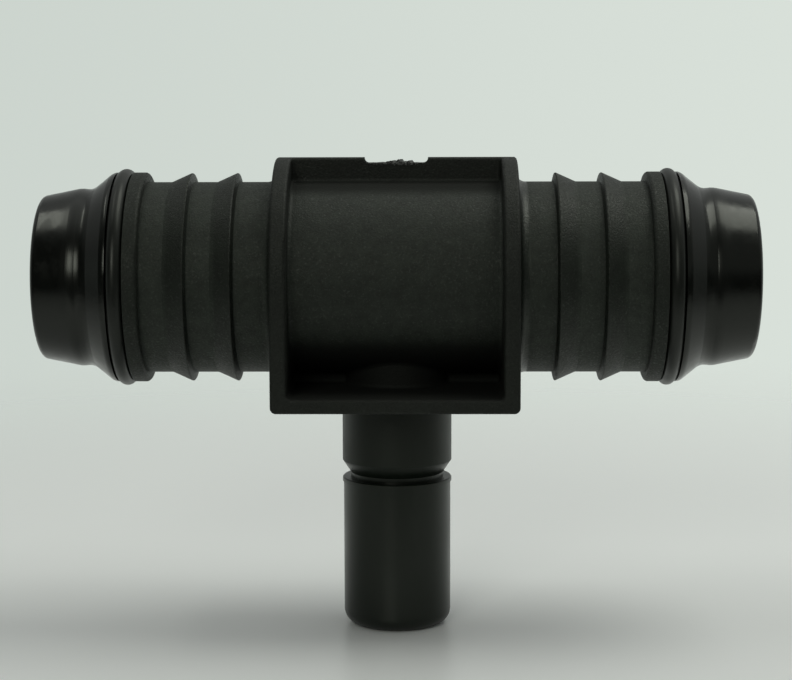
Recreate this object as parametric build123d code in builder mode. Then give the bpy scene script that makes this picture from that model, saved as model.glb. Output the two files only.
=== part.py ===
from build123d import *
import os
from math import radians, tan

# Moulded tee fitting for coolant or heater lines: a straight run with a fir-tree hose end on each side, a
# square cored housing in the middle, and a branch that ends in a male quick-connect spigot.
# Millimetres, +Z up. The origin is the centre of the branch's end face, which the fitting stands on.
# The run lies along X at RUN_HEIGHT, and the fitting is the same on its -Y and +Y sides.

# Housing: two side plates rounded over the run, a base plate, and a web in the mould's parting plane
HOUSING_WIDTH = 33.0
HOUSING_DEPTH = 33.0
HOUSING_DROP = 16.65  # run axis to the underside of the base plate
SIDE_PLATE = 2.15
BASE_PLATE = 1.95
WEB = 2.0
HOUSING_CORNER = 0.8  # base plate to side plate, outside
HOUSING_EDGE = 0.4  # every other outside edge of the housing
POCKET_FILLET = 0.6
MOUTH_EDGE = 0.4

# Gate notch in the top of the web
GATE_WIDTH = 8.7
GATE_DEPTH = 0.75
GATE_ROUND = 0.65  # floor of the notch to each end

# Run pipe and hose ends, from the housing outwards
PIPE_RADIUS = 13.13
PIPE_ROOT_FILLET = 1.2
NECK_LENGTH = 4.95  # side plate to the foot of the first barb's back
BARB_COUNT = 2
BARB_PITCH = 6.28
BARB_RISE = 1.28  # sharp crest above the pipe, before it is rounded
BARB_LEAN = 0.3  # crest beyond the foot of the back
BARB_RAMP = 2.84
BARB_CREST_ROUND = 0.15
BARB_TO_LAND = 6.37  # foot of the last barb's back to the land beside the sealing ring
LAND_WIDTH = 1.95
LAND_RISE = 1.33  # land and rim above the pipe
LAND_ROUND = 0.5
RIM_WIDTH = 0.46
RIM_ROUND = 1.2
FLARE_LENGTH = 3.02
WAIST_DROP = 1.08  # waist, crest and tip below the pipe
WAIST_FILLET = 2.0
WAIST_LENGTH = 1.52
CREST_DROP = 0.83
CREST_ROUND = 3.0
TIP_LENGTH = 5.5
TIP_DROP = 1.93
TIP_EDGE = 0.9

# Sealing ring on each hose end
RING_SECTION = 2.1
RING_PROUD = 0.48  # ring above the land
RING_SEAT_GAP = 0.05  # to the floor of its groove
RING_SIDE_GAP = 0.1  # to each side of its groove

# Branch, from its end face upwards
SPIGOT_LENGTH = 20.25
SPIGOT_RADIUS = 7.45
SPIGOT_NOSE = 2.0
LIP_HEIGHT = 0.6
LIP_STEP = 0.15  # lip and collar beyond the spigot
LIP_BEVEL = 0.15
LATCH_HEIGHT = 0.65
LATCH_DEPTH = 1.0  # latch groove into the spigot
LATCH_CONE_HEIGHT = 1.72
COLLAR_LENGTH = 8.83
BRANCH_ROOT_RADIUS = 7.0  # between the run pipe and the base plate

# Flow bores, each drafted for its core
RUN_WALL = 3.63  # from the pipe to its bore, at the middle of the run
BRANCH_WALL = 2.45  # from the spigot to its bore, at the end of the branch
BORE_DRAFT = 0.3  # degrees
BORE_MOUTH_CHAMFER = 0.3

# Heights along the branch
lip_bottom = SPIGOT_LENGTH
neck_bottom = lip_bottom + LIP_HEIGHT
cone_bottom = neck_bottom + LATCH_HEIGHT
collar_bottom = cone_bottom + LATCH_CONE_HEIGHT
base_bottom = collar_bottom + COLLAR_LENGTH
base_top = base_bottom + BASE_PLATE
RUN_HEIGHT = base_bottom + HOUSING_DROP

# Places along the run, from the middle to the right
plate_outside = HOUSING_WIDTH / 2
plate_inside = plate_outside - SIDE_PLATE
first_barb = plate_outside + NECK_LENGTH
land_start = first_barb + (BARB_COUNT - 1) * BARB_PITCH + BARB_TO_LAND
groove_start = land_start + LAND_WIDTH
groove_end = groove_start + RING_SECTION + 2 * RING_SIDE_GAP
flare_start = groove_end + RIM_WIDTH
waist = flare_start + FLARE_LENGTH
crest = waist + WAIST_LENGTH
run_end = crest + TIP_LENGTH

# Radii about the run's axis
arch_radius = HOUSING_DEPTH / 2
hub_radius = PIPE_RADIUS + 2 * PIPE_ROOT_FILLET  # stays inside the housing
land_radius = PIPE_RADIUS + LAND_RISE
waist_radius = PIPE_RADIUS - WAIST_DROP
crest_radius = PIPE_RADIUS - CREST_DROP
tip_radius = PIPE_RADIUS - TIP_DROP
ring_centre_radius = land_radius + RING_PROUD - RING_SECTION / 2
groove_floor_radius = ring_centre_radius - RING_SECTION / 2 - RING_SEAT_GAP
run_bore_middle = PIPE_RADIUS - RUN_WALL
run_bore_mouth = run_bore_middle + run_end * tan(radians(BORE_DRAFT))

# Radii about the branch's axis
lip_radius = SPIGOT_RADIUS + LIP_STEP
neck_radius = SPIGOT_RADIUS - LATCH_DEPTH
branch_bore_bottom = SPIGOT_RADIUS - BRANCH_WALL
branch_bore_top = branch_bore_bottom - RUN_HEIGHT * tan(radians(BORE_DRAFT))

run_axis = Axis((0, 0, RUN_HEIGHT), (1, 0, 0))
run_section = Plane(origin=(0, 0, RUN_HEIGHT), x_dir=(1, 0, 0), z_dir=(0, -1, 0))
housing_middle = Plane(origin=(0, 0, RUN_HEIGHT), x_dir=(0, 1, 0), z_dir=(1, 0, 0))


def barb(back):
    """Corners of one barb: the foot of its back, which faces the housing, its crest, and the end of its ramp."""
    top = back + BARB_LEAN
    return [(back, PIPE_RADIUS), (top, PIPE_RADIUS + BARB_RISE), (top + BARB_RAMP, PIPE_RADIUS)]


def corner(sketch, x, y):
    """The corner of a sketch nearest to a place, both in the sketch's own axes."""
    return sketch.vertices().sort_by_distance((x, y))[0]


# Outer form of the run: one half of its section is drawn, turned about the run's axis, then mirrored
barb_backs = [first_barb + i * BARB_PITCH for i in range(BARB_COUNT)]
with BuildPart() as run_form:
    with BuildSketch(run_section) as half_section:
        with BuildLine():
            Polyline(
                (0, 0),
                (0, hub_radius),
                (plate_outside, hub_radius),
                (plate_outside, PIPE_RADIUS),
                *[point for back in barb_backs for point in barb(back)],
                (land_start, PIPE_RADIUS),
                (land_start, land_radius),
                (groove_start, land_radius),
                (groove_start, groove_floor_radius),
                (groove_end, groove_floor_radius),
                (groove_end, land_radius),
                (flare_start, land_radius),
                (waist, waist_radius),
                (crest, crest_radius),
                (run_end, tip_radius),
                (run_end, 0),
                close=True,
            )
        make_face()
        fillet(corner(half_section, plate_outside, PIPE_RADIUS), PIPE_ROOT_FILLET)
        for back in barb_backs:
            fillet(corner(half_section, back + BARB_LEAN, PIPE_RADIUS + BARB_RISE), BARB_CREST_ROUND)
        fillet(corner(half_section, land_start, land_radius), LAND_ROUND)
        fillet(corner(half_section, flare_start, land_radius), RIM_ROUND)
        fillet(corner(half_section, waist, waist_radius), WAIST_FILLET)
        fillet(corner(half_section, crest, crest_radius), CREST_ROUND)
        fillet(corner(half_section, run_end, tip_radius), TIP_EDGE)
    revolve(axis=run_axis)
    mirror(about=Plane.YZ)

# One pocket of the housing, as the shape of the steel that cores it out
with BuildPart() as pocket_core:
    with BuildSketch(Plane.XZ.offset(WEB / 2)):
        with Locations((0, base_top)):
            Rectangle(2 * plate_inside, 2 * HOUSING_DEPTH, align=(Align.CENTER, Align.MIN))
    extrude(amount=HOUSING_DEPTH)
    with BuildSketch(housing_middle):
        Circle(PIPE_RADIUS)
    extrude(amount=plate_outside, both=True, mode=Mode.SUBTRACT)
    with BuildSketch(Plane.XY.offset(base_bottom)):
        Circle(BRANCH_ROOT_RADIUS)
    extrude(amount=HOUSING_DROP, mode=Mode.SUBTRACT)
    open_front = pocket_core.faces().sort_by(Axis.Y)[0]
    open_top = pocket_core.faces().sort_by(Axis.Z)[-1]
    open_edges = open_front.edges() + open_top.edges()
    cored_edges = [edge for edge in pocket_core.edges() if edge not in open_edges]
    fillet(cored_edges, POCKET_FILLET)

# Cores of the flow passages: two that meet in the middle of the run, and one up the branch to the run
with BuildPart() as flow_cores:
    with BuildSketch(run_section):
        with BuildLine():
            Polyline(
                (0, 0),
                (0, run_bore_middle),
                (run_end - BORE_MOUTH_CHAMFER, run_bore_mouth),
                (run_end, run_bore_mouth + BORE_MOUTH_CHAMFER),
                (run_end, 0),
                close=True,
            )
        make_face()
    revolve(axis=run_axis)
    mirror(about=Plane.YZ)
    with BuildSketch(Plane.XZ):
        with BuildLine():
            Polyline(
                (0, 0),
                (branch_bore_bottom, 0),
                (branch_bore_top, RUN_HEIGHT),
                (0, RUN_HEIGHT),
                close=True,
            )
        make_face()
    revolve(axis=Axis.Z)

# The whole moulding
with BuildPart() as tee_body:
    # Housing block, rounded over the run
    with BuildSketch(housing_middle):
        with BuildLine():
            ThreePointArc((-arch_radius, 0), (0, arch_radius), (arch_radius, 0))
            Polyline(
                (arch_radius, 0),
                (arch_radius, -HOUSING_DROP),
                (-arch_radius, -HOUSING_DROP),
                (-arch_radius, 0),
            )
        make_face()
    extrude(amount=plate_outside, both=True)
    fillet(tee_body.edges().filter_by(Axis.Y).group_by(Axis.Z)[0], HOUSING_CORNER)
    end_edges = tee_body.faces().filter_by(Axis.X).edges()
    underside_edges = tee_body.edges().filter_by(Axis.X).group_by(Axis.Z)[0]
    fillet(end_edges + underside_edges, HOUSING_EDGE)

    # Run pipe with both hose ends
    add(run_form.part)

    # A pocket from each side leaves the plates, the web and the pipe between them
    add(pocket_core.part, mode=Mode.SUBTRACT)
    mirror(pocket_core.part, about=Plane.XZ, mode=Mode.SUBTRACT)
    for side in (-1, 1):
        mouth_sill = (0, side * HOUSING_DEPTH / 2, base_top)
        fillet(tee_body.edges().sort_by_distance(mouth_sill)[0], MOUTH_EDGE)

    # Notch in the web where the gate is broken off
    with BuildSketch(run_section) as notch_section:
        with Locations((0, arch_radius)):
            Rectangle(GATE_WIDTH, 2 * GATE_DEPTH)
        for end in (-1, 1):
            fillet(corner(notch_section, end * GATE_WIDTH / 2, arch_radius - GATE_DEPTH), GATE_ROUND)
    extrude(amount=WEB, both=True, mode=Mode.SUBTRACT)

    # Branch: collar, cone and neck that the connector's wire latch drops into, lip, and spigot
    with BuildSketch(Plane.XZ) as branch_section:
        with BuildLine():
            Polyline(
                (0, 0),
                (SPIGOT_RADIUS, 0),
                (SPIGOT_RADIUS, lip_bottom),
                (lip_radius, lip_bottom),
                (lip_radius, neck_bottom),
                (neck_radius, neck_bottom),
                (neck_radius, cone_bottom),
                (lip_radius, collar_bottom),
                (lip_radius, base_top),
                (0, base_top),
                close=True,
            )
        make_face()
        fillet(corner(branch_section, SPIGOT_RADIUS, 0), SPIGOT_NOSE)
        chamfer(corner(branch_section, lip_radius, neck_bottom), LIP_BEVEL)
    revolve(axis=Axis.Z)

    # Flow passages
    add(flow_cores.part, mode=Mode.SUBTRACT)
tee_body.part.label = "tee_body"

# Sealing rings: each is one turn of round cord, stretched into its groove
ring_middle = (groove_start + groove_end) / 2
with BuildPart() as o_ring_right:
    with BuildSketch(run_section):
        with Locations((ring_middle, ring_centre_radius)):
            Circle(RING_SECTION / 2)
    revolve(axis=run_axis)
o_ring_right.part.label = "o_ring_right"

with BuildPart() as o_ring_left:
    mirror(o_ring_right.part, about=Plane.YZ)
o_ring_left.part.label = "o_ring_left"

os.makedirs("parts", exist_ok=True)
for piece in (tee_body, o_ring_left, o_ring_right):
    export_step(piece.part, f"parts/{piece.part.label}.step")
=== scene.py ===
"""The moulded tee fitting's looks: materials, the broken gate, the studio and the camera. Metres, +Z up."""

import math

import bmesh
import bpy
from mathutils import Matrix, Vector, noise


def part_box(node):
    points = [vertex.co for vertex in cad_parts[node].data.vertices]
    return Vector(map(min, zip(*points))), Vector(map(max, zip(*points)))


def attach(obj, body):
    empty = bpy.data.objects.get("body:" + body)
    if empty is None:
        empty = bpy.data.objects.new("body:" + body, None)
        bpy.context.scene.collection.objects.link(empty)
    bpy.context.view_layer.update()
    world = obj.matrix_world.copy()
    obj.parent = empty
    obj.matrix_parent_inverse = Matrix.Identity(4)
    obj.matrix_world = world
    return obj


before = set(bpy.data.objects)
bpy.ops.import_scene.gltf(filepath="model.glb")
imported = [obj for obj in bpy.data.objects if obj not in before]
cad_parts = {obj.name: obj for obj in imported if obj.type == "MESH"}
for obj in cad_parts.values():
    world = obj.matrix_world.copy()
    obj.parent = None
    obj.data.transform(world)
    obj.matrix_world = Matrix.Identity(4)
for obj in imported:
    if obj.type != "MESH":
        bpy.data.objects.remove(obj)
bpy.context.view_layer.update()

MM = 0.001

# Sizes of the moulding, which its box doesn't give
PIPE_RADIUS = 13.13 * MM
PLATE_OUTSIDE = 16.5 * MM  # from the middle of the run to the housing's outer faces
SIDE_PLATE = 2.15 * MM
BASE_PLATE = 1.95 * MM
WEB = 2.0 * MM
HOUSING_DROP = 16.65 * MM  # from the run's axis to the underside of the base plate
COLLAR_LENGTH = 8.83 * MM
LAND_WIDTH = 1.95 * MM
RING_SIDE_GAP = 0.1 * MM
RIM_WIDTH = 0.46 * MM
TIP_LENGTH = 5.5 * MM
GATE_DEPTH = 0.75 * MM

# Places on the moulding: heights, and distances along the run from its middle
body_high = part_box("tee_body")[1]
ring_low, ring_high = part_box("o_ring_right")
run_height = (ring_low.z + ring_high.z) / 2
base_underside = run_height - HOUSING_DROP
base_top = base_underside + BASE_PLATE
collar_bottom = base_underside - COLLAR_LENGTH
gate_floor = body_high.z - GATE_DEPTH
plate_inside = PLATE_OUTSIDE - SIDE_PLATE
land_start = ring_low.x - RING_SIDE_GAP - LAND_WIDTH
flare_start = ring_high.x + RING_SIDE_GAP + RIM_WIDTH
crest = body_high.x - TIP_LENGTH


# ---------------------------------------------------------------- node helpers


def add_node(tree, kind, sockets=(), **settings):
    """A new node with its settings, and its input sockets linked to another socket or given a value."""
    made = tree.nodes.new(kind)
    for name, value in settings.items():
        setattr(made, name, value)
    for name, value in dict(sockets).items():
        if isinstance(value, bpy.types.NodeSocket):
            tree.links.new(value, made.inputs[name])
        else:
            made.inputs[name].default_value = value
    return made


def maths(tree, operation, first, second=0.0):
    """The result of one arithmetic step."""
    made = add_node(tree, "ShaderNodeMath", {0: first, 1: second}, operation=operation)
    return made.outputs[0]


def product(tree, first, *others):
    """All the numbers multiplied together."""
    result = first
    for other in others:
        result = maths(tree, "MULTIPLY", result, other)
    return result


def fade(tree, value, start, end, low=0.0, high=1.0):
    """Goes smoothly from low to high as value goes from start to end."""
    sockets = {"Value": value, "From Min": start, "From Max": end, "To Min": low, "To Max": high}
    made = add_node(tree, "ShaderNodeMapRange", sockets, interpolation_type="SMOOTHSTEP")
    return made.outputs["Result"]


def blend_numbers(tree, factor, first, second):
    """A number between two others."""
    sockets = {0: factor, 2: first, 3: second}
    return add_node(tree, "ShaderNodeMix", sockets, data_type="FLOAT").outputs[0]


def blend_colours(tree, factor, first, second):
    """A colour between two others."""
    sockets = {0: factor, 6: first, 7: second}
    return add_node(tree, "ShaderNodeMix", sockets, data_type="RGBA").outputs[2]


def split(tree, vector):
    """The X, Y and Z of a vector, by name."""
    return add_node(tree, "ShaderNodeSeparateXYZ", {"Vector": vector}).outputs


def length(tree, vector):
    """How long a vector is."""
    made = add_node(tree, "ShaderNodeVectorMath", {0: vector}, operation="LENGTH")
    return made.outputs["Value"]


def grain(tree, place, size, detail=2.0, roughness=0.5):
    """Noise from 0 to 1 whose features are about size across."""
    sockets = {"Vector": place, "Scale": 1 / size, "Detail": detail, "Roughness": roughness}
    return add_node(tree, "ShaderNodeTexNoise", sockets).outputs[0]


def bump(tree, height, strength, distance):
    """Normals that follow a fine relief."""
    sockets = {"Height": height, "Strength": strength, "Distance": distance}
    return add_node(tree, "ShaderNodeBump", sockets).outputs["Normal"]


def grey(level, green=1.04):
    """A grey of that level, with its green raised by that factor and a hundredth less blue."""
    return (level, level * green, level * 0.99, 1.0)


def new_material(name):
    """An empty material: its tree, its shader and the place on the object."""
    material = bpy.data.materials.new(name)
    material.use_nodes = True
    tree = material.node_tree
    tree.nodes.clear()
    place = add_node(tree, "ShaderNodeTexCoord").outputs["Object"]
    shader = add_node(tree, "ShaderNodeBsdfPrincipled")
    output = add_node(tree, "ShaderNodeOutputMaterial")
    tree.links.new(shader.outputs["BSDF"], output.inputs["Surface"])
    return material, tree, shader, place


def feed(tree, shader, **sockets):
    """Links results to the shader's sockets. An underscore stands for the space in a socket's name."""
    for name, value in sockets.items():
        tree.links.new(value, shader.inputs[name.replace("_", " ")])


# ------------------------------------------------------------------- materials

# The tint and the strength of the shine of the nylon and the rubber
SHINE_TINT = (0.970, 1.0, 0.935, 1.0)
NYLON_SHINE = 0.37
RUBBER_SHINE = 0.34

# The darkest and the palest black of each zone of the moulding. All zones are one nylon: the housing's
# blacks are darker as painted shade, the pipe's are paler as painted light (less so between the plates,
# where painted shade darkens them), and the recess black is painted shade.
BARB_BLACKS = (grey(0.0036, 1.5), grey(0.0062, 1.5))
# Painted shade: darker blacks for the housing's plates and base
HOUSING_PAINTED_SHADE_BLACKS = (grey(0.0020, 1.5), grey(0.0040, 1.5))
# Painted light: the pipe's blacks are paler than the rest of the nylon; between the plates, painted shade
# darkens them again
HOSE_PIPE_PAINTED_LIGHT_BLACKS = (grey(0.0105, 1.3), grey(0.0175, 1.3))
HOUSED_PIPE_LIGHT_AND_SHADE_BLACKS = (grey(0.0082, 1.3), grey(0.0145, 1.3))
POLISHED_BLACKS = (grey(0.0015, 1.3), grey(0.0022, 1.3))
BRANCH_BLACKS = (grey(0.0035, 1.6), grey(0.0045, 1.6))
# Painted shade: a darker black low in the pockets and where the web stands on the pipe
RECESS_PAINTED_SHADE = grey(0.0025, 1.3)

# Flecks of glass fibre near the surface
FLECK_GREY = grey(0.045, 1.1)
FLECK_STRENGTH = 0.35
FLECKS_ON_WALLS = 0.45  # of their strength elsewhere

# Roughness of each zone and of the flecks: where there are two numbers, it varies between them
MATT_ROUGHNESS = (0.54, 0.70)
BRANCH_ROUGHNESS = (0.44, 0.50)
SPIGOT_ROUGHNESS = (0.30, 0.36)
POLISHED_ROUGHNESS = (0.15, 0.25)
CREST_ROUGHNESS = 0.25
ROOT_ROUGHNESS = 0.32
POCKET_ROUGHNESS = 0.75
UNDER_WEB_ROUGHNESS = 0.9
FLECK_ROUGHNESS = 0.3
RAMPS_SMOOTHER_BY = 0.09


def moulding_zones(tree, place):
    """The zones of the moulding by name: each is 1 inside the zone and 0 outside it."""
    axes = split(tree, place)
    height = axes["Z"]
    from_middle = maths(tree, "ABSOLUTE", axes["X"])
    above_run = maths(tree, "SUBTRACT", height, run_height)
    from_run = add_node(tree, "ShaderNodeCombineXYZ", {"Y": axes["Y"], "Z": above_run}).outputs[0]

    # The pipe, the housing, the barbs' ramps, everything from the rim to the tip, and the tip's crest
    pipe = fade(tree, length(tree, from_run), PIPE_RADIUS + 0.35 * MM, PIPE_RADIUS + 0.05 * MM)
    housing = fade(tree, from_middle, PLATE_OUTSIDE + 0.3 * MM, PLATE_OUTSIDE + 0.1 * MM)
    off_pipe = maths(tree, "SUBTRACT", 1.0, maths(tree, "MAXIMUM", pipe, housing))
    before_land = fade(tree, from_middle, land_start, land_start - 0.1 * MM)
    flare = fade(tree, from_middle, flare_start - 0.65 * MM, flare_start - 0.45 * MM)
    from_crest = maths(tree, "ABSOLUTE", maths(tree, "SUBTRACT", from_middle, crest))

    # The strip of pipe beside the right side plate
    past_plate = fade(tree, from_middle, PLATE_OUTSIDE, PLATE_OUTSIDE + 0.1 * MM)
    before_pipe = fade(tree, from_middle, PLATE_OUTSIDE + 1.5 * MM, PLATE_OUTSIDE + 1.2 * MM)
    on_right = fade(tree, axes["X"], -1 * MM, 1 * MM)

    # Recesses of the housing, which get painted shade and their own roughness: low in the pockets, and where
    # the web stands on the pipe
    between_plates = fade(tree, from_middle, plate_inside + 0.1 * MM, plate_inside - 0.1 * MM)
    low = fade(tree, height, run_height - 7 * MM, run_height - 9 * MM)
    above_base = fade(tree, height, base_top - 0.3 * MM, base_top - 0.1 * MM)
    high = fade(tree, height, run_height + 11.2 * MM, run_height + 12.6 * MM)

    branch = fade(tree, height, base_underside, base_underside - 0.2 * MM)
    return {
        "pipe": pipe,
        "housing": housing,
        "walls": maths(tree, "MAXIMUM", maths(tree, "SUBTRACT", housing, pipe), 0.0),
        "between plates": between_plates,
        "ramps": product(tree, off_pipe, before_land),
        "flare": flare,
        "crest": fade(tree, from_crest, 1.8 * MM, 0.8 * MM),
        "right root": product(tree, past_plate, before_pipe, on_right),
        "pocket": product(tree, between_plates, low, above_base),
        "under web": product(tree, between_plates, high, pipe),
        "branch": branch,
        "spigot": fade(tree, height, collar_bottom, collar_bottom - 0.3 * MM),
        "smooth": maths(tree, "MAXIMUM", flare, branch),
    }


def nylon_material():
    """Black glass-filled nylon: matt and speckled, but smooth on the branch and from each rim to its tip."""
    material, tree, shader, place = new_material("glass_filled_nylon_moulded")
    on = moulding_zones(tree, place)

    mottle = grain(tree, place, 6 * MM, 3.0)
    flow = fade(tree, grain(tree, place, 1.5 * MM, 4.0, 0.6), 0.3, 0.7)
    grit = grain(tree, place, 0.26 * MM, 2.0, 0.6)
    fibre = grain(tree, place, 0.3 * MM, 2.0, 0.6)
    weaker = fade(tree, on["walls"], 0.0, 1.0, 1.0, FLECKS_ON_WALLS)
    fleck = product(tree, fade(tree, fibre, 0.55, 0.72), weaker)

    barbs = blend_colours(tree, flow, *BARB_BLACKS)
    housing = blend_colours(tree, flow, *HOUSING_PAINTED_SHADE_BLACKS)
    hose_pipe_painted_light = blend_colours(tree, flow, *HOSE_PIPE_PAINTED_LIGHT_BLACKS)
    housed_pipe_light_and_shade = blend_colours(tree, flow, *HOUSED_PIPE_LIGHT_AND_SHADE_BLACKS)
    pipe = blend_colours(tree, on["between plates"], hose_pipe_painted_light, housed_pipe_light_and_shade)
    # Painted shade darkens the housing, the pipe between the plates and the recesses; painted light makes
    # the pipe paler than the barbs
    colour_layers = (
        (on["housing"], housing),
        (on["pipe"], pipe),
        (product(tree, fleck, FLECK_STRENGTH), FLECK_GREY),
        (maths(tree, "MAXIMUM", on["pocket"], on["under web"]), RECESS_PAINTED_SHADE),
        (on["flare"], blend_colours(tree, mottle, *POLISHED_BLACKS)),
        (on["branch"], blend_colours(tree, mottle, *BRANCH_BLACKS)),
    )
    colour = barbs
    for share, layer in colour_layers:
        colour = blend_colours(tree, share, colour, layer)

    matt = fade(tree, grit, 0.3, 0.7, *MATT_ROUGHNESS)
    roughness_layers = (
        (product(tree, fleck, 0.6), FLECK_ROUGHNESS),
        (on["branch"], fade(tree, mottle, 0.3, 0.7, *BRANCH_ROUGHNESS)),
        (on["spigot"], fade(tree, mottle, 0.3, 0.7, *SPIGOT_ROUGHNESS)),
        (on["flare"], fade(tree, flow, 0.0, 1.0, *POLISHED_ROUGHNESS)),
        (on["crest"], CREST_ROUGHNESS),
        (on["right root"], ROOT_ROUGHNESS),
        (on["pocket"], POCKET_ROUGHNESS),
        (on["under web"], UNDER_WEB_ROUGHNESS),
    )
    roughness = maths(tree, "SUBTRACT", matt, product(tree, on["ramps"], RAMPS_SMOOTHER_BY))
    for share, layer in roughness_layers:
        roughness = blend_numbers(tree, share, roughness, layer)

    relief = blend_numbers(tree, on["smooth"], grit, product(tree, grit, 0.04))
    shader.inputs["Specular IOR Level"].default_value = NYLON_SHINE
    shader.inputs["Specular Tint"].default_value = SHINE_TINT
    feed(tree, shader, Base_Color=colour, Roughness=roughness, Normal=bump(tree, relief, 0.9, 0.08 * MM))
    return material


def rubber_material():
    """Black sealing rubber with a soft sheen and a trace of dust."""
    material, tree, shader, place = new_material("seal_rubber_satin")
    cloud = grain(tree, place, 3 * MM, 3.0)
    dust = fade(tree, grain(tree, place, 0.4 * MM, 2.0), 0.6, 0.75)
    black = blend_colours(tree, cloud, grey(0.004, 1.2), grey(0.007, 1.2))
    colour = blend_colours(tree, product(tree, dust, 0.25), black, grey(0.035, 1.0))
    roughness = fade(tree, cloud, 0.3, 0.7, 0.33, 0.42)
    relief = grain(tree, place, 0.3 * MM, 2.0)
    shader.inputs["Specular IOR Level"].default_value = RUBBER_SHINE
    shader.inputs["Specular Tint"].default_value = SHINE_TINT
    feed(tree, shader, Base_Color=colour, Roughness=roughness, Normal=bump(tree, relief, 0.2, 0.01 * MM))
    return material


def broken_nylon_material():
    """Nylon where the gate was torn off: dull, paler and rough."""
    material, tree, shader, place = new_material("glass_filled_nylon_broken")
    crumbs = grain(tree, place, 0.24 * MM, 3.0, 0.7)
    colour = blend_colours(tree, fade(tree, crumbs, 0.42, 0.6), grey(0.005), grey(0.125))
    roughness = fade(tree, crumbs, 0.3, 0.7, 0.55, 0.8)
    feed(tree, shader, Base_Color=colour, Roughness=roughness, Normal=bump(tree, crumbs, 0.8, 0.05 * MM))
    return material


# ------------------------------------------------------------------ broken gate

# Each lump the gate left on the floor of its notch: place along the run, half its width, and its height
GATE_LUMPS = (
    (-2.05 * MM, 0.35 * MM, 0.08 * MM),
    (-0.95 * MM, 0.42 * MM, 0.20 * MM),
    (-0.45 * MM, 0.42 * MM, 0.27 * MM),
    (0.50 * MM, 0.42 * MM, 0.42 * MM),
    (1.10 * MM, 0.50 * MM, 0.17 * MM),
    (1.90 * MM, 0.30 * MM, 0.28 * MM),
    (2.80 * MM, 0.35 * MM, 0.07 * MM),
)
GATE_SKIN = 0.015 * MM  # height of the torn plastic between the lumps
LUMP_LEAN = 0.25  # a lump's shift along the run, as a share of the distance across the web
CRAG_SIZE = 0.25 * MM
CRUMB_SIZE = 0.1 * MM
CRUMB_HEIGHT = 0.03 * MM

STUB_START = -4.1 * MM
STUB_LENGTH = 7.4 * MM
STUB_STATIONS = 130  # along the run
STUB_STEPS = 16  # across the web
LIP_TOP = 0.02 * MM  # below the notch's floor
LIP_BITE = 0.05 * MM  # into the web
LIP_GRAIN = 0.16 * MM


def gate_height(along, across):
    """How high the torn plastic stands above the notch's floor at one place."""
    height = GATE_SKIN
    for place, half_width, top in GATE_LUMPS:
        nearness = 1 - abs(along - place - across * LUMP_LEAN) / half_width
        height = max(height, top * min(1.0, 1.5 * nearness))
    crag = noise.noise(Vector((along, across, 0)) / CRAG_SIZE)
    crumb = noise.noise(Vector((along, across, 5 * MM)) / CRUMB_SIZE)
    return height * (1 + 0.35 * crag) + CRUMB_HEIGHT * crumb


def gate_lip(along, side, taper):
    """Three points of the torn lip, which hangs down one face of the web and stands a little proud of it."""
    seed = Vector((along / LIP_GRAIN, 7.0 * side, 0))
    hang = (0.14 + 0.45 * abs(noise.noise(seed))) * MM * taper
    proud = (0.03 + 0.08 * abs(noise.noise(seed * 1.7))) * MM * taper
    across = side * (WEB / 2 + proud)
    lip = [(across, -LIP_TOP), (across, -hang), (side * (WEB / 2 - LIP_BITE), -hang)]
    if side == -1:
        lip.reverse()
    return [(along, y, gate_floor + z) for y, z in lip]


def gate_stub():
    """The torn remains of the gate: a ragged strip along the notch whose lips hang over the web's faces."""
    mesh = bmesh.new()
    rows = []
    for i in range(STUB_STATIONS + 1):
        along = STUB_START + STUB_LENGTH * i / STUB_STATIONS
        taper = min(1.0, 10 * min(i, STUB_STATIONS - i) / STUB_STATIONS)
        points = []
        for j in range(STUB_STEPS + 1):
            across = WEB / 2 * (2 * j / STUB_STEPS - 1)
            points.append((along, across, gate_floor + gate_height(along, across) * taper))
        points += gate_lip(along, 1, taper) + gate_lip(along, -1, taper)
        rows.append([mesh.verts.new(point) for point in points])
    for low, high in zip(rows, rows[1:]):
        for k in range(len(low)):
            following = (k + 1) % len(low)
            mesh.faces.new((low[k], high[k], high[following], low[following]))
    mesh.faces.new(rows[0])
    mesh.faces.new(reversed(rows[-1]))
    bmesh.ops.recalc_face_normals(mesh, faces=mesh.faces)
    return new_object("gate_stub", mesh)


def new_object(name, mesh):
    """The mesh as an object in the scene."""
    data = bpy.data.meshes.new(name)
    mesh.to_mesh(data)
    mesh.free()
    made = bpy.data.objects.new(name, data)
    bpy.context.scene.collection.objects.link(made)
    return made


# ----------------------------------------------------------------------- studio

# How bright each part of the room is, where 1 is white
BACKDROP_LEFT = (0.600, 0.655, 0.612, 1.0)
BACKDROP_RIGHT = (0.700, 0.757, 0.704, 1.0)
WALL_LEFT = (0.300, 0.313, 0.302, 1.0)
WALL_RIGHT = (0.430, 0.446, 0.432, 1.0)
CEILING = (0.620, 0.640, 0.622, 1.0)
FRONT = (0.060, 0.062, 0.060, 1.0)
FRONT_ABOVE_RIGHT = (0.230, 0.240, 0.225, 1.0)

FLOOR_COLOUR = (0.897, 0.912, 0.912)
FLOOR_ROUGHNESS = 0.33
FLOOR_RADIUS = 1.6
FLOOR_FADES_BEHIND = (0.06, 0.30)  # distance from the middle
FLOOR_FADES_IN_FRONT = (-0.045, -0.15)  # Y in front of the fitting, and further out beside it
FLOOR_FRONT_HALF_WIDTH = 0.05  # how far to each side the edge of that fade is straight

# Each lamp: its name, its place, its width and depth, and how bright its face is, where 1 is white
LAMPS = (
    ("overhead", (0.27, 0.06, 0.64), (0.36, 0.44), 2.55),
    ("overhead_left", (-0.35, 0.045, 0.64), (0.07, 0.35), 2.85),
    ("strip", (-0.145, -0.552, 0.296), (0.20, 0.25), 4.2),
)
LAMP_TINT = (0.98, 1.0, 0.91)

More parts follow.
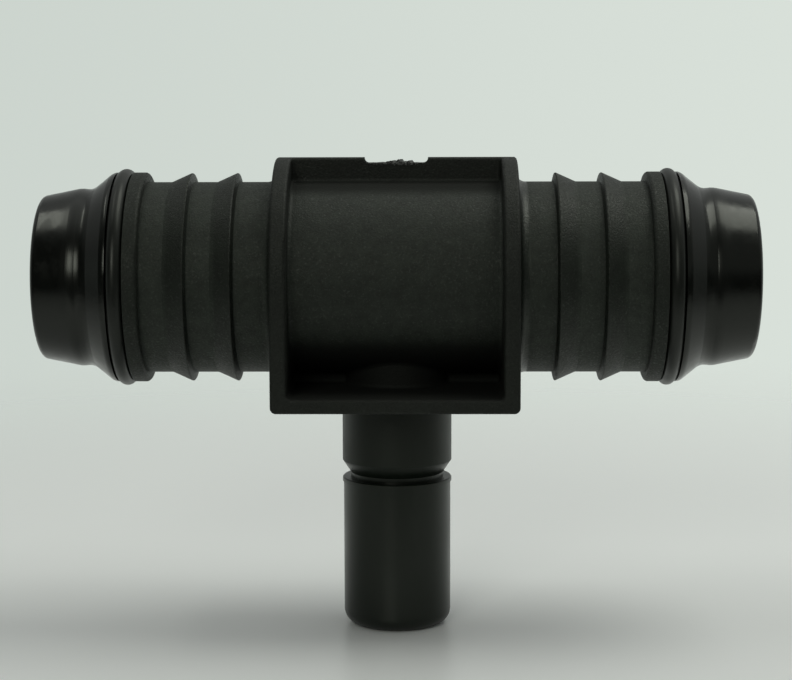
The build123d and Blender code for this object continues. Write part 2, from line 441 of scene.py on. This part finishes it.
# The lens and the sensor are in millimetres, the angles in degrees
LENS = 91.91
SENSOR_WIDTH = 36
CAMERA_PITCH = 7.0727
CAMERA_YAW = 0.9156
CAMERA_ROLL = 0.1527
CAMERA_AIM = (-0.11 * MM, 0, 39.883 * MM)
CAMERA_DISTANCE = 280.827 * MM


def sky():
    """A pale backdrop behind the fitting, a greyer room above it, and a dark room in front."""
    world = bpy.data.worlds.new("studio")
    bpy.context.scene.world = world
    world.use_nodes = True
    tree = world.node_tree
    tree.nodes.clear()
    axes = split(tree, add_node(tree, "ShaderNodeTexCoord").outputs["Generated"])
    across = axes["X"]
    upwards = axes["Z"]
    above = fade(tree, upwards, 0.05, 0.25)

    backdrop = blend_colours(tree, fade(tree, across, -0.3, 0.3), BACKDROP_LEFT, BACKDROP_RIGHT)
    walls = blend_colours(tree, fade(tree, across, -0.5, 0.5), WALL_LEFT, WALL_RIGHT)
    room = blend_colours(tree, fade(tree, upwards, 0.7, 0.9), walls, CEILING)
    behind = blend_colours(tree, above, backdrop, room)
    above_right = product(tree, fade(tree, across, -0.2, 0.35), above)
    front = blend_colours(tree, above_right, FRONT, FRONT_ABOVE_RIGHT)

    # The higher a direction points, the more it counts as behind
    backwards = maths(tree, "ADD", axes["Y"], product(tree, upwards, 0.4))
    colour = blend_colours(tree, fade(tree, backwards, -0.35, 0.45), front, behind)

    background = add_node(tree, "ShaderNodeBackground", {"Color": colour, "Strength": 1.0})
    output = add_node(tree, "ShaderNodeOutputWorld")
    tree.links.new(background.outputs[0], output.inputs["Surface"])


def studio_floor():
    """A round pale floor that fades into the backdrop far behind the fitting and into the dark in front."""
    mesh = bmesh.new()
    bmesh.ops.create_circle(mesh, cap_ends=True, segments=96, radius=FLOOR_RADIUS)
    made = new_object("studio_floor", mesh)

    material, tree, shader, place = new_material("studio_floor")
    axes = split(tree, place)
    # Painted light and shade in the floor's colour: paler to the right and far behind, with a band of
    # painted shadow just behind the fitting
    painted_light_to_right = fade(tree, axes["X"], -0.1, 0.1, 1.01, 1.035)
    painted_shadow_band = fade(tree, axes["Y"], -0.025, 0.005, 0.985, 0.96)
    painted_light_far_behind = fade(tree, axes["Y"], 0.015, 0.055, 1.0, 1.11)
    floor_painted_light_and_shade = product(tree, painted_shadow_band, painted_light_far_behind, painted_light_to_right)
    colour = add_node(tree, "ShaderNodeVectorMath", {0: FLOOR_COLOUR, "Scale": floor_painted_light_and_shade}, operation="SCALE")
    shader.inputs["Roughness"].default_value = FLOOR_ROUGHNESS
    feed(tree, shader, Base_Color=colour.outputs[0])

    gone_behind = fade(tree, length(tree, place), *FLOOR_FADES_BEHIND)
    from_middle = maths(tree, "ABSOLUTE", axes["X"])
    beyond = maths(tree, "SUBTRACT", from_middle, FLOOR_FRONT_HALF_WIDTH)
    aside = maths(tree, "MAXIMUM", beyond, 0.0)
    gone_in_front = fade(tree, maths(tree, "ADD", axes["Y"], aside), *FLOOR_FADES_IN_FRONT)
    gone = maths(tree, "MAXIMUM", gone_behind, gone_in_front)
    clear = add_node(tree, "ShaderNodeBsdfTransparent")
    sockets = {0: gone, 1: shader.outputs["BSDF"], 2: clear.outputs[0]}
    mixed = add_node(tree, "ShaderNodeMixShader", sockets)
    tree.links.new(mixed.outputs[0], tree.nodes["Material Output"].inputs["Surface"])
    made.data.materials.append(material)


def softbox(name, place, size, radiance):
    """A soft lamp of that radiance, facing the fitting and unseen by the camera."""
    width, depth = size
    data = bpy.data.lights.new(name, "AREA")
    data.shape = "RECTANGLE"
    data.size = width
    data.size_y = depth
    data.energy = radiance * math.pi * width * depth
    data.color = LAMP_TINT
    lamp = bpy.data.objects.new(name, data)
    bpy.context.scene.collection.objects.link(lamp)
    backwards = (Vector(place) - Vector((0, 0, run_height))).normalized()
    upwards = Vector((0, 1, 0)) if backwards.z > 0.7 else Vector((0, 0, 1))
    sideways = upwards.cross(backwards).normalized()
    turn = Matrix((sideways, backwards.cross(sideways), backwards)).transposed()
    lamp.matrix_world = Matrix.Translation(place) @ turn.to_4x4()
    lamp.visible_camera = False


def camera():
    """A long lens a little above the fitting, looking slightly down on it."""
    data = bpy.data.cameras.new("camera")
    data.sensor_width = SENSOR_WIDTH
    data.lens = LENS
    data.clip_start = 0.01
    made = bpy.data.objects.new("camera", data)
    bpy.context.scene.collection.objects.link(made)
    yaw = Matrix.Rotation(math.radians(CAMERA_YAW), 4, "Z")
    pitch = Matrix.Rotation(math.pi / 2 - math.radians(CAMERA_PITCH), 4, "X")
    roll = Matrix.Rotation(-math.radians(CAMERA_ROLL), 4, "Z")
    back_off = Matrix.Translation((0, 0, CAMERA_DISTANCE))
    made.matrix_world = Matrix.Translation(CAMERA_AIM) @ (yaw @ pitch @ roll) @ back_off
    bpy.context.scene.camera = made


# ------------------------------------------------------------------------ build


def main():
    """Gives each CAD piece its material, adds the broken gate, and sets up the studio and the camera."""
    nylon = nylon_material()
    rubber = rubber_material()
    for name, cad_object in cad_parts.items():
        cad_object.data.materials.clear()
        cad_object.data.materials.append(rubber if name.startswith("o_ring") else nylon)

    stub = gate_stub()
    stub.data.materials.append(broken_nylon_material())
    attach(stub, "root")

    sky()
    studio_floor()
    for lamp in LAMPS:
        softbox(*lamp)
    camera()
    bpy.context.scene.view_settings.view_transform = "Standard"


main()
